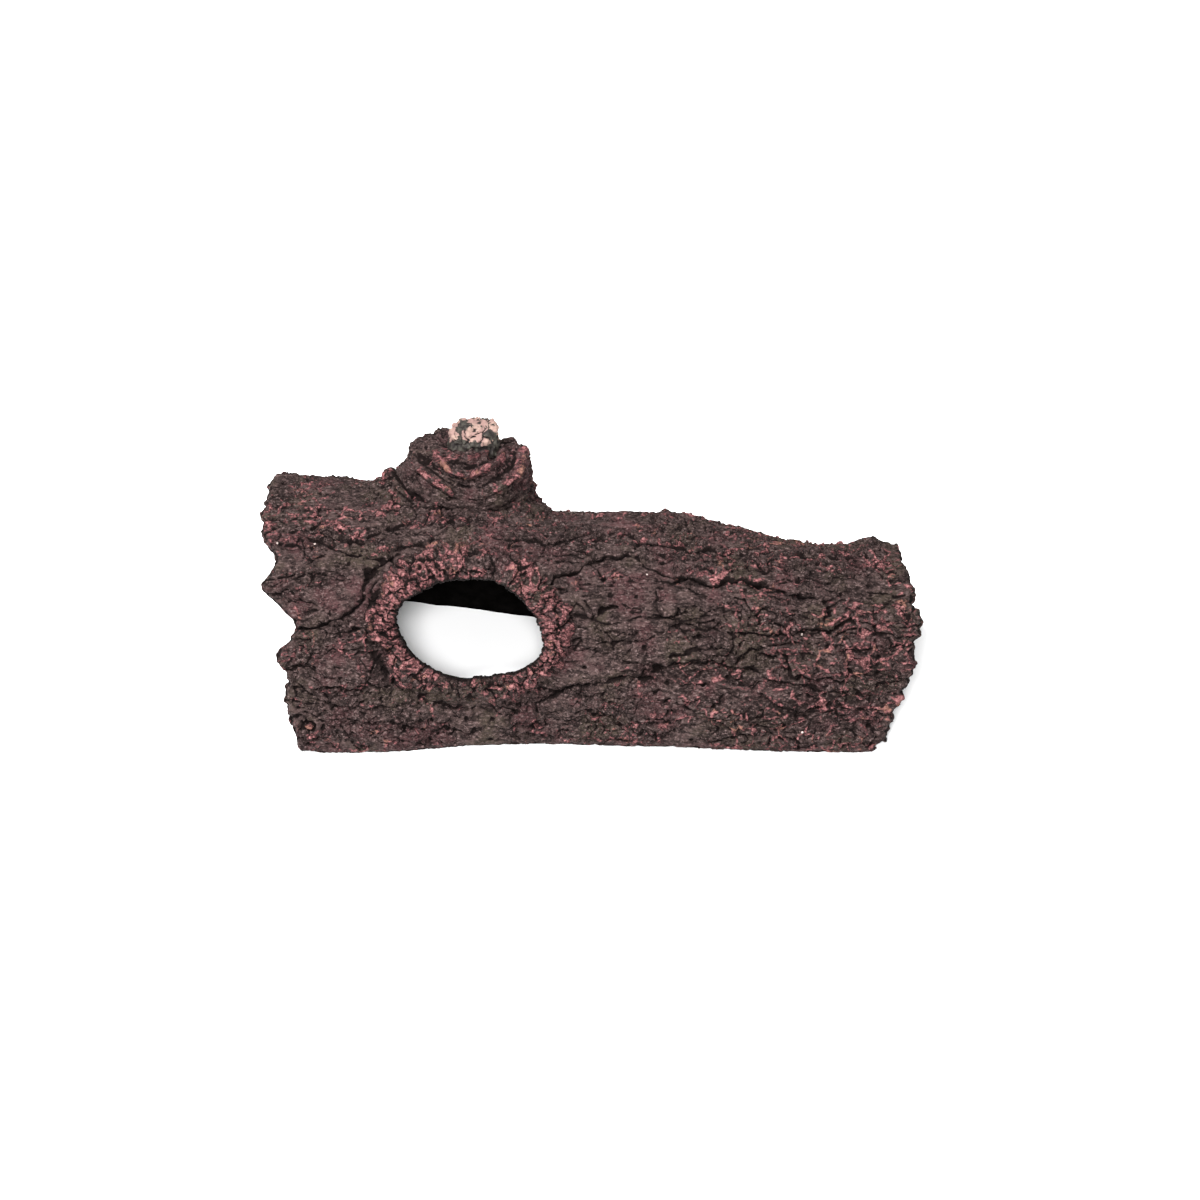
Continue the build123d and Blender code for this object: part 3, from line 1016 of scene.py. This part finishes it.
# ======== the stump
# The stump's side in eight directions: degrees anticlockwise from the log's thin end, seen from above,
# then reach from the heartwood's axis and height. The first three heights are above the bark under them,
# and the last three above the base.
STUMP_SIDES = (
    (-90, (30, 21, 14.5, 13.0, 9.5, 6.5), (-1.5, 0.8, 0.0, 67.5, 75.5, 76.5)),
    (-45, (28, 22, 17.5, 16.5, 14.0, 7), (-1.5, 1.2, 2.0, 65.0, 71.5, 74.5)),
    (0, (26, 22.5, 19.5, 17.3, 16.0, 7), (-1.5, 2.0, 5.0, 64.5, 73.0, 73.5)),
    (45, (25, 21, 18.5, 17.2, 15.2, 7), (-1.5, 1.5, 2.5, 64.5, 71.0, 72.5)),
    (90, (18, 16.8, 15.8, 14.8, 12.0, 7), (-1.5, 0.4, 1.5, 65.0, 70.5, 73.0)),
    (135, (28, 24.5, 21.0, 19.5, 17.0, 7), (-1.5, 2.6, 5.0, 67.0, 73.0, 74.5)),
    (180, (38, 29.5, 25.0, 23.4, 20.8, 8), (-1.5, 3.2, 7.5, 68.0, 73.5, 75.0)),
    (225, (32, 25, 19.5, 17.5, 14.5, 7), (-1.5, 1.8, 0.8, 66.5, 74.5, 76.0)),
)
STUMP_KNOTS = (0.0, 0.2, 0.36, 0.55, 0.8, 0.92, 1.0)     # shares of the way up, the last at the middle
GROWTH_RINGS = (8.8, 13.2, 19.0)     # radii of the raised growth rings on the broken face
SCOOPS = (10.8, 16.0)                # and of the hollows between them
RINGS_MIDDLE = (-1.0, -3.0, 5.5)     # where they are drawn from, from the middle of the heartwood
STUMP_TUBE = (20, 26)                # radius and length of the tube that the stump's waves are drawn on
CREASE_DEPTH = 1.6
CREASE_AT = 0.365                    # share of the way up the stump's side
LEAST_HEIGHT = 0.3                   # the stump's foot stays this far above the floor


def bark_top(x, y):
    """Height of the smooth outside above a place on the base."""
    lines = np.linspace(-40, 40, 161)
    tops = np.stack([np.interp(lines, row_y, row_z) for row_y, row_z in zip(SHEET.y, SHEET.z)])
    return sample(tops, (x - XS[0]) / (XS[1] - XS[0]), (y - lines[0]) / (lines[1] - lines[0]))


def round_blur(rows, reach):
    """Columns of a table that closes on itself, smoothed over about reach rows each way."""
    kernel = np.hanning(2 * reach + 3)[1:-1]
    wide = np.concatenate([rows[-reach:], rows, rows[:reach]])
    columns = [np.convolve(c, kernel / kernel.sum(), mode="valid") for c in wide.T]
    return np.stack(columns, axis=-1)


def stump_base(noise, turn, part):
    """The stump without its relief."""
    sides = np.array([(*reach, 0.0, *height, height[-1]) for _, reach, height in STUMP_SIDES])
    around = [side[0] for side in STUMP_SIDES]
    table = np.stack([np.interp(np.degrees(turn), around, c, period=360) for c in sides.T], axis=-1)
    table = round_blur(table, len(turn) // 18)
    knots = np.array(STUMP_KNOTS)
    low = np.clip(np.searchsorted(knots, part, side="right") - 1, 0, len(knots) - 2)
    share = (part - knots[low]) / (knots[low + 1] - knots[low])

    def up_side(start, first, last):
        """One kind of the table's numbers up the side, held at its first and last knots."""
        below, above = (start + np.clip(low + step, first, last) for step in (0, 1))
        return table[:, below] * (1 - share) + table[:, above] * share

    spin = tube(turn, STUMP_TUBE[0], part * STUMP_TUBE[1])
    reach = blur(up_side(0, 0, 6), 2) * (1 + 0.06 * noise(spin, (11, 11, 25), 2))
    x = HEART[0] + np.cos(turn)[:, None] * reach
    y = HEART[1] + np.sin(turn)[:, None] * reach
    wall = smooth(STUMP_KNOTS[2], STUMP_KNOTS[3], part)
    above_bark, above_base = up_side(len(knots), 0, 2), up_side(len(knots), 3, 6)
    z = (bark_top(x, y) + above_bark) * (1 - wall) + above_base * wall
    z += 1.3 * noise(spin + 70, (10, 10, 60), 2) * smooth(0.5, 0.8, part)
    return np.stack([x, y, z], axis=-1)


def growth_rings(noise, base, face):
    """The raised rings on the broken face, the hollows between them, and how far out each point is."""
    gap = base - (HEART + RINGS_MIDDLE)
    out = np.linalg.norm(gap, axis=-1) + 1.0 * noise(base, 9, 2)
    aside = smooth(3.5, 8.0, np.abs(gap[..., 0] - 1.0))      # the outermost ring is broken off below
    first, second, third = GROWTH_RINGS
    growth = 0.7 * bell(out - first, 0.9) + bell(out - second, 1.0) + bell(out - third, 1.1) * aside
    scooped = bell(out - SCOOPS[0], 1.6) + bell(out - SCOOPS[1], 1.9)
    return growth * face, scooped * face, out


def stump_crease(noise, base, turn, part):
    """The crease where the wall rises off the foot, at its front and left, 0 to 1: cut in, and painted
    black as its shade.
    """
    gap = part - CREASE_AT + 0.03 * noise(base + 25, 7, 2)
    crease = bell(gap, 0.028) * smooth(0.45, -0.3, np.cos(turn) - 0.2)[:, None]
    return crease * smooth(0.45, -0.05, np.sin(turn))[:, None] * smooth(-0.9, 0.1, noise(base + 5, 6))


def stump_relief(noise, base, face, rings):
    """The stump's relief in mm before its crease, with its raised lines and its clefts."""
    growth, scooped, out = rings
    crooked = noise.crook(base, 7, 1.8, 2.2, 0.5)
    own, _, gap = plates(crooked * (1, 1, 0.55), noise, 5.0)
    clefts = 1 - smooth(0.0, 0.13, gap)
    net = 1 - smooth(0.04, 0.25, plates(crooked + 50, noise, (3.8, 3.8, 3.4))[2])
    net = net * smooth(-0.1, 0.4, noise(base + 90, 11, 2))
    threads = worms(base + 9, noise, (4.4, 4.4, 4.0), 0.14)
    bands = noise(np.stack([out * 1.6, base[..., 0] * 0.25], axis=-1), (2.0, 3.0), 2)
    relief = 1.7 * growth - 0.6 * scooped + 0.5 * bands * face
    relief += 1.1 * noise(base, 8, 2) + (1.3 * own - 0.8 * clefts) * (1 - 0.75 * face)
    relief += (0.4 * net + 0.3 * threads) * (1 - 0.5 * face)
    relief += 0.45 * noise.crumbs(base + 50, (2.8, 2.8, 2.2)) * (1 - 0.4 * face)
    relief += 0.08 * noise(base + 80, (1.1, 1.1, 1.0))
    return relief, np.maximum(0.75 * threads, net), clefts


def stump_paint(noise, base, part, face, growth, relief, lines, clefts, crease):
    """Red on the growth rings and the raised lines, and black as painted shade in the hollows, the clefts,
    the crease and at the foot.
    """
    region = 0.1 + 0.42 * noise(base + 66, 11, 2) + 0.3 * noise(base + 33, 3, 2) - 0.3 * face
    red, hollow = brushed(relief, lines, region, STUMP_GRAIN)
    red = np.maximum(red, growth * smooth(-0.75, 0.05, noise(base + 12, 3.0, 3)))
    # painted shade: black in the hollows and clefts, less on the broken face and the growth rings
    black = np.maximum(hollow, 0.6 * clefts * (1 - 0.8 * face)) * (1 - 0.8 * growth)
    # painted shade at the stump's foot and in its crease
    black = np.maximum(black, np.maximum(0.8 * smooth(0.05, 0.0, part), crease))
    return layers(red, black, 0.6)


def make_stump(material):
    count, steps = STUMP_STEPS
    noise = Noise(STUMP_SEED)
    turn = full_turn(count)
    part = np.linspace(0, 1, steps)
    base = stump_base(noise, turn, part)
    front = smooth(0.05, -0.55, np.sin(turn))[:, None]
    face = front * smooth(0.34, 0.42, part)      # the scooped face is smoother than the rest
    rings = growth_rings(noise, base, face)
    relief, lines, clefts = stump_relief(noise, base, face, rings)
    crease = stump_crease(noise, base, turn, part)
    calm = (0.4 + 0.6 * smooth(0.0, 0.08, part)) * smooth(1.0, 0.9, part)
    relief = (relief - CREASE_DEPTH * crease) * calm
    points = base + closed_normals(base, (0, 0, 1)) * relief[..., None]
    points[..., 2] = np.maximum(points[..., 2], LEAST_HEIGHT)
    paint = stump_paint(noise, base, part, face, rings[0], relief, lines, clefts, crease)

    # closed below, inside the wall, and under the heartwood
    sink = (*HEART[:2], points[:, 0, 2].mean())
    every = np.concatenate([points[:, :-1].reshape(-1, 3), [sink, points[:, -1].mean(axis=0)]])
    colours = np.concatenate([paint[:, :-1].reshape(-1, 3), [(0, 1, 0), (0, 1, 0)]])
    faces = wrapped_faces(count, steps - 1)
    make_piece("stump_bark", every, faces, colours, [material], "branch_stump")


# ======== the heartwood
TIP_FIT = (0.94, 0.95, 0.95)     # share of the CAD tip's half size that the form fills before its relief
CROWN_AT = 3.6                   # the cream starts this far above the middle, at the tip's front
CROWN_LEAN = 0.35                # and comes down this much for each mm towards the back


def signed_power(v, power):
    return np.sign(v) * np.abs(v) ** power


def tip_base(turn, rise, half):
    """A squarish block with rounded corners, which narrows a little upwards."""
    wide = np.abs(np.cos(rise)) ** 0.36
    tall = signed_power(np.sin(rise), 0.55) * np.ones_like(turn)
    taper = 1 - 0.1 * smooth(-0.2, 1.0, tall)
    sides = [signed_power(side, 0.75) * wide * taper for side in (np.cos(turn), np.sin(turn))]
    return HEART + np.stack([*sides, tall], axis=-1) * half * TIP_FIT


def tip_relief(noise, base):
    """The tip's crumbs and pits in mm, and its clefts."""
    own, _, gap = plates(noise.crook(base, 5, 1.4, 1.6, 0.5), noise, (4.0, 4.0, 4.4))
    clefts = 1 - smooth(0.0, 0.18, gap)
    pits, _, _, pit_own = noise.cells(base + 3, 3.6)
    relief = 0.6 * noise(base, 6, 2) + 0.9 * own - 0.7 * clefts
    relief += 0.7 * noise.crumbs(base + 30, 2.6)
    return relief - 1.4 * bell(pits, 0.22) * (pit_own > 0.5), clefts


def tip_paint(noise, base, half, relief, clefts):
    """Cream patches over the crown, and grey green below it with a share of black; black in the hollows
    is painted shade.
    """
    fine = relief - blur(relief, 4)
    broad = relief - blur(relief, 12)
    level = base[..., 2] + CROWN_LEAN * base[..., 1] + 1.8 * noise(base + 12, 4, 2)
    level = level + 1.5 * noise(base + 21, 2.2, 2)
    crown = smooth(-1.0, 0.5, level - (HEART[2] + CROWN_AT + CROWN_LEAN * (HEART[1] - half[1])))
    patchy = smooth(-0.3, -0.05, noise(base + 44, 3.8, 3) + 0.8 * fine - 0.2 * clefts)
    # painted shade in the hollows, and a quarter share of black all over below the crown
    black = np.maximum(smooth(0.0, -0.6, 1.3 * fine + 0.6 * broad), 0.25 * (1 - crown))
    return layers(patchy * crown, black, smooth(-0.3, 0.4, noise(base + 70, 4, 2)))


def make_tip(material):
    count, steps = TIP_STEPS
    noise = Noise(TIP_SEED)
    low, high = (np.array(v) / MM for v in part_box("heartwood_tip"))
    half = (high - low) / 2
    turn = full_turn(count)[:, None]
    rise = np.linspace(-math.pi / 2, math.pi / 2, steps + 2)[None, 1:-1]
    base = tip_base(turn, rise, half)
    relief, clefts = tip_relief(noise, base)
    relief *= smooth(1.0, 0.997, np.abs(np.sin(rise)))
    points = base + closed_normals(base, base - HEART) * relief[..., None]
    paint = tip_paint(noise, base, half, relief, clefts)
    ends = [(*HEART[:2], base[:, k, 2].mean()) for k in (0, -1)]
    every = np.concatenate([points.reshape(-1, 3), ends])
    colours = np.concatenate([paint.reshape(-1, 3), [(0, 1, 0), (0.9, 0, 0.5)]])
    faces = wrapped_faces(count, steps)
    make_piece("heartwood", every, faces, colours, [material], "heartwood_tip")


# ======== materials
class Nodes:
    """A short way to write a material's node tree."""

    def __init__(self, name):
        self.material = bpy.data.materials.new(name)
        self.material.use_nodes = True
        self.tree = self.material.node_tree
        self.shader = self.tree.nodes["Principled BSDF"]

    def put(self, socket, value):
        """Gives a socket a plain value, or joins an output to it."""
        if isinstance(value, bpy.types.NodeSocket):
            self.tree.links.new(value, socket)
        else:
            socket.default_value = (*value, 1.0) if socket.type == "RGBA" else value

    def add(self, kind, inputs=(), **settings):
        node = self.tree.nodes.new("ShaderNode" + kind)
        for key, value in settings.items():
            setattr(node, key, value)
        for key, value in dict(inputs).items():
            self.put(node.inputs[key], value)
        return node

    def maths(self, how, a, b):
        return self.add("Math", {0: a, 1: b}, operation=how).outputs[0]

    def times(self, a, b):
        return self.maths("MULTIPLY", a, b)

    def plus(self, *terms):
        total = terms[0]
        for term in terms[1:]:
            total = self.maths("ADD", total, term)
        return total

    def mix(self, share, a, b):
        return self.add("Mix", {0: share, 6: a, 7: b}, data_type="RGBA").outputs[2]

    def noise(self, scale, detail, rough, where):
        inputs = {"Vector": where, "Scale": scale, "Detail": detail, "Roughness": rough}
        return self.add("TexNoise", inputs).outputs["Fac"]

    def ramp(self, value, low, high, to_low=0.0, to_high=1.0):
        inputs = {"Value": value, "From Min": low, "From Max": high, "To Min": to_low, "To Max": to_high}
        return self.add("MapRange", inputs, interpolation_type="SMOOTHSTEP").outputs["Result"]

    def squiggles(self, scale, width, where):
        """Thin crooked lines: 1 on a line, 0 off it."""
        wave = self.maths("SUBTRACT", self.noise(scale, 3, 0.6, where), 0.5)
        return self.ramp(self.maths("ABSOLUTE", wave, 0), width, 0.0)

    def crackle(self, scale, where):
        """Distance to the edges of crooked cells, in cells."""
        swirl = self.add("TexNoise", {"Vector": where, "Scale": scale * 0.8, "Detail": 2.0})
        push = {0: swirl.outputs["Color"], "Scale": 0.9 / scale}
        move = self.add("VectorMath", push, operation="SCALE").outputs[0]
        place = self.add("VectorMath", {0: where, 1: move}, operation="ADD").outputs[0]
        cells = self.add("TexVoronoi", {"Vector": place, "Scale": scale}, feature="DISTANCE_TO_EDGE")
        return cells.outputs["Distance"]

    def painted_glints(self, where):
        """A few tiny painted highlights, glints on specks: 1 in a speck, 0 off it."""
        cells = self.add("TexVoronoi", {"Vector": where, "Scale": 170.0})
        chance = self.add("SeparateColor", {"Color": cells.outputs["Color"]}).outputs["Red"]
        return self.times(self.ramp(cells.outputs["Distance"], 0.07, 0.05), self.ramp(chance, 0.86, 0.87))

    def finish(self, colour, roughness, specular, height, strength, depth):
        """Joins up the shader: colour, roughness, and bump of a height times depth, in metres."""
        bump = self.add("Bump", {"Height": height, "Strength": strength, "Distance": depth})
        sockets = self.shader.inputs
        self.put(sockets["Base Color"], colour)
        self.put(sockets["Roughness"], roughness)
        self.put(sockets["Specular IOR Level"], specular)
        self.put(sockets["Normal"], bump.outputs["Normal"])
        return self.material


# Linear colours of the paints.
TAUPE = (0.0435, 0.0277, 0.0260)
TAUPE_PALE = (0.145, 0.101, 0.097)
TAUPE_DARK = (0.0130, 0.0083, 0.0079)
OLIVE = (0.0305, 0.0244, 0.0162)
MAROON = (0.0530, 0.0200, 0.0224)
RED = (0.098, 0.0345, 0.0370)
PINK = (0.200, 0.0890, 0.0875)
TAN = (0.148, 0.075, 0.051)
# BLACK is mostly painted shade, in hollows, cracks and clefts
BLACK = (0.0046, 0.0024, 0.0022)
# near black: dark resin with the shade inside the hollow painted in
RESIN_SHADE = (0.0020, 0.0017, 0.0016)
RESIN_SHADE_DEEP = (0.0008, 0.0007, 0.0006)
PAINTED_GLINT = (0.45, 0.37, 0.34)
CREAM = (0.178, 0.117, 0.097)
CREAM_PINK = (0.146, 0.088, 0.077)
GREY_GREEN = (0.024, 0.021, 0.016)


def read_paint(n):
    """The three painted layers of a mesh."""
    colour = n.add("Attribute", attribute_name="paint").outputs["Color"]
    split = n.add("SeparateColor", {"Color": colour})
    return [split.outputs[k] for k in ("Red", "Green", "Blue")]


def base_coat(n, where, mottle, grain, pale):
    """Mottled taupe with olive and maroon patches, and pale where pale and the grain say so."""
    patches = n.noise(75, 3, 0.55, where)
    tone = n.plus(n.times(mottle, 0.5), n.times(grain, 0.5))
    colour = n.mix(n.ramp(tone, 0.42, 0.58), TAUPE_DARK, TAUPE)
    colour = n.mix(n.times(n.ramp(patches, 0.50, 0.66), 0.5), colour, OLIVE)
    colour = n.mix(n.times(n.ramp(patches, 0.48, 0.34), 0.45), colour, MAROON)
    colour = n.mix(pale, colour, TAUPE_PALE)
    return n.mix(n.times(n.ramp(grain, 0.56, 0.66), 0.55), colour, TAUPE_PALE)


def brush_red(n, where, mottle, grain, red, colour):
    """Red and pink dry-brushed over a colour, with tan in places."""
    broken = n.ramp(mottle, 0.38, 0.62, -0.15, 0.10)
    strength = n.plus(red, n.ramp(grain, 0.40, 0.60, -0.38, 0.22), broken)
    tan = n.times(n.ramp(n.noise(190, 3, 0.6, where), 0.56, 0.66), 0.7)
    reds = n.mix(tan, n.mix(n.ramp(strength, 0.55, 1.1), RED, PINK), TAN)
    return n.mix(n.ramp(strength, 0.44, 0.56), colour, reds)


def bark_material(name):
    """Painted bark: a mottled and scribbled base, red brushed over its ridges, black as painted shade in
    its hollows and fine cracks, and a few painted glints.
    """
    n = Nodes(name)
    where = n.add("TexCoord").outputs["Object"]
    along = n.add("VectorMath", {0: where, 1: (0.6, 1.0, 1.0)}, operation="MULTIPLY").outputs[0]
    red, black, crumb = read_paint(n)
    mottle = n.noise(430, 5, 0.68, along)
    grain = n.noise(1350, 4, 0.72, along)
    pale_lines = n.squiggles(760, 0.035, along)
    pale = n.times(n.ramp(grain, 0.42, 0.62, 0.15, 0.9), n.ramp(crumb, 0.0, 0.7, 0.45, 1.0))
    colour = base_coat(n, where, mottle, grain, n.times(pale_lines, pale))
    colour = brush_red(n, where, mottle, grain, red, colour)
    scribble = n.times(n.squiggles(520, 0.045, along), n.ramp(mottle, 0.40, 0.60, 0.95, 0.35))
    cracked = n.times(n.ramp(n.crackle(560, where), 0.10, 0.0), n.ramp(crumb, 0.1, 0.9, 0.1, 0.8))
    cracked = n.maths("MAXIMUM", cracked, scribble)
    # painted shade: black in the hollows that the mesh's paint marks, the grain shifting it at random
    hollow = n.plus(black, n.ramp(grain, 0.38, 0.62, 0.14, -0.14))
    # painted shade: black in the fine cracks and the scribbled creases
    colour = n.mix(cracked, colour, BLACK)
    colour = n.mix(n.ramp(hollow, 0.25, 0.75), colour, BLACK)
    # painted highlights: a few tiny glints
    colour = n.mix(n.painted_glints(where), colour, PAINTED_GLINT)
    height = n.plus(
        n.times(mottle, 0.6), n.times(grain, 0.45), n.times(cracked, -0.25), n.times(pale_lines, 0.12)
    )
    return n.finish(colour, n.ramp(mottle, 0.3, 0.75, 0.85, 0.6), 0.06, height, 1.0, 0.0014)


def inner_material():
    """The dark resin of the hollow, painted near black as the shade inside it."""
    n = Nodes("resin_and_shade")
    mottle = n.noise(160, 4, 0.6, n.add("TexCoord").outputs["Object"])
    colour = n.mix(n.ramp(mottle, 0.35, 0.65), RESIN_SHADE_DEEP, RESIN_SHADE)
    return n.finish(colour, n.ramp(mottle, 0.3, 0.7, 0.95, 0.8), 0.0, mottle, 0.5, 0.0010)


def heart_material():
    """Heartwood: cream patches over a dark grey green."""
    n = Nodes("heartwood_paint")
    where = n.add("TexCoord").outputs["Object"]
    pale, black, warm = read_paint(n)
    mottle = n.noise(650, 5, 0.68, where)
    grain = n.noise(1700, 3, 0.7, where)
    cream = n.mix(n.ramp(warm, 0.35, 0.75), CREAM, CREAM_PINK)
    colour = n.mix(n.ramp(mottle, 0.38, 0.60), BLACK, GREY_GREEN)
    share = n.ramp(n.plus(pale, n.ramp(mottle, 0.40, 0.60, -0.45, 0.15)), 0.30, 0.50)
    colour = n.mix(share, colour, cream)
    # painted shade where the mesh's black layer says so
    colour = n.mix(n.ramp(black, 0.2, 1.0), colour, BLACK)
    height = n.plus(n.times(mottle, 0.6), n.times(grain, 0.4))
    return n.finish(colour, n.ramp(mottle, 0.3, 0.7, 0.8, 0.6), 0.25, height, 0.8, 0.0009)


# ======== stage, light and camera
VIEW_ELEVATION = 35.0
VIEW_DISTANCE = 1.1
VIEW_LENS = 106.1
TARGET = Vector((0.0032, 0.0, 0.0254))
# Each light's name, degrees round from the log's front and up, distance and size in m, and watts.
LIGHTS = (
    ("key", -3, 35.5, 1.1, 0.20, 23.0),
    ("top", -38, 62, 1.1, 0.22, 36.0),
    ("back", 160, 50, 1.3, 0.7, 8.0),
)
SKY_LIGHT = 0.3
FLOOR_GREY = (0.9, 0.9, 0.9)
FLOOR_REACH = 4.0
FLOOR_DROP = 0.0002              # just below the base, so that the two don't fight


def aim(obj, place, target):
    obj.location = place
    obj.rotation_euler = (target - place).to_track_quat("-Z", "Y").to_euler()


def make_camera():
    data = bpy.data.cameras.new("camera")
    data.lens = VIEW_LENS
    data.clip_end = 20
    camera = bpy.data.objects.new("camera", data)
    bpy.context.scene.collection.objects.link(camera)
    e = math.radians(VIEW_ELEVATION)
    aim(camera, TARGET + Vector((0, -math.cos(e), math.sin(e))) * VIEW_DISTANCE, TARGET)
    bpy.context.scene.camera = camera


def make_light(name, azimuth, elevation, distance, size, power):
    """A square soft light. azimuth 0 is in front of the log, and 90 at its thin end."""
    data = bpy.data.lights.new(name, "AREA")
    data.size = size
    data.energy = power
    light = bpy.data.objects.new(name, data)
    bpy.context.scene.collection.objects.link(light)
    a, e = math.radians(azimuth), math.radians(elevation)
    way = Vector((math.sin(a) * math.cos(e), -math.cos(a) * math.cos(e), math.sin(e)))
    aim(light, TARGET + way * distance, TARGET)


def make_stage():
    """A plain pale floor and an even white sky."""
    line = np.linspace(-FLOOR_REACH, FLOOR_REACH, 9)
    x, y = np.meshgrid(line, line, indexing="ij")
    points = np.stack([x, y, np.full(x.shape, -FLOOR_DROP)], axis=-1).reshape(-1, 3)
    mesh = bpy.data.meshes.new("floor")
    mesh.from_pydata(points.tolist(), [], quads(numbers(0, *x.shape)).tolist())
    n = Nodes("floor_paint")
    n.put(n.shader.inputs["Base Color"], FLOOR_GREY)
    n.put(n.shader.inputs["Roughness"], 0.9)
    mesh.materials.append(n.material)
    floor = bpy.data.objects.new("floor", mesh)
    bpy.context.scene.collection.objects.link(floor)
    world = bpy.data.worlds.new("studio")
    bpy.context.scene.world = world
    world.use_nodes = True
    world.node_tree.nodes["Background"].inputs["Color"].default_value = (1, 1, 1, 1)
    world.node_tree.nodes["Background"].inputs["Strength"].default_value = SKY_LIGHT


bpy.context.scene.view_settings.view_transform = "Standard"
make_camera()
for light in LIGHTS:
    make_light(*light)
make_stage()

make_shell([bark_material("bark_paint"), inner_material()])
make_ring(bark_material("knot_paint"))
make_stump(bark_material("stump_paint"))
make_tip(heart_material())
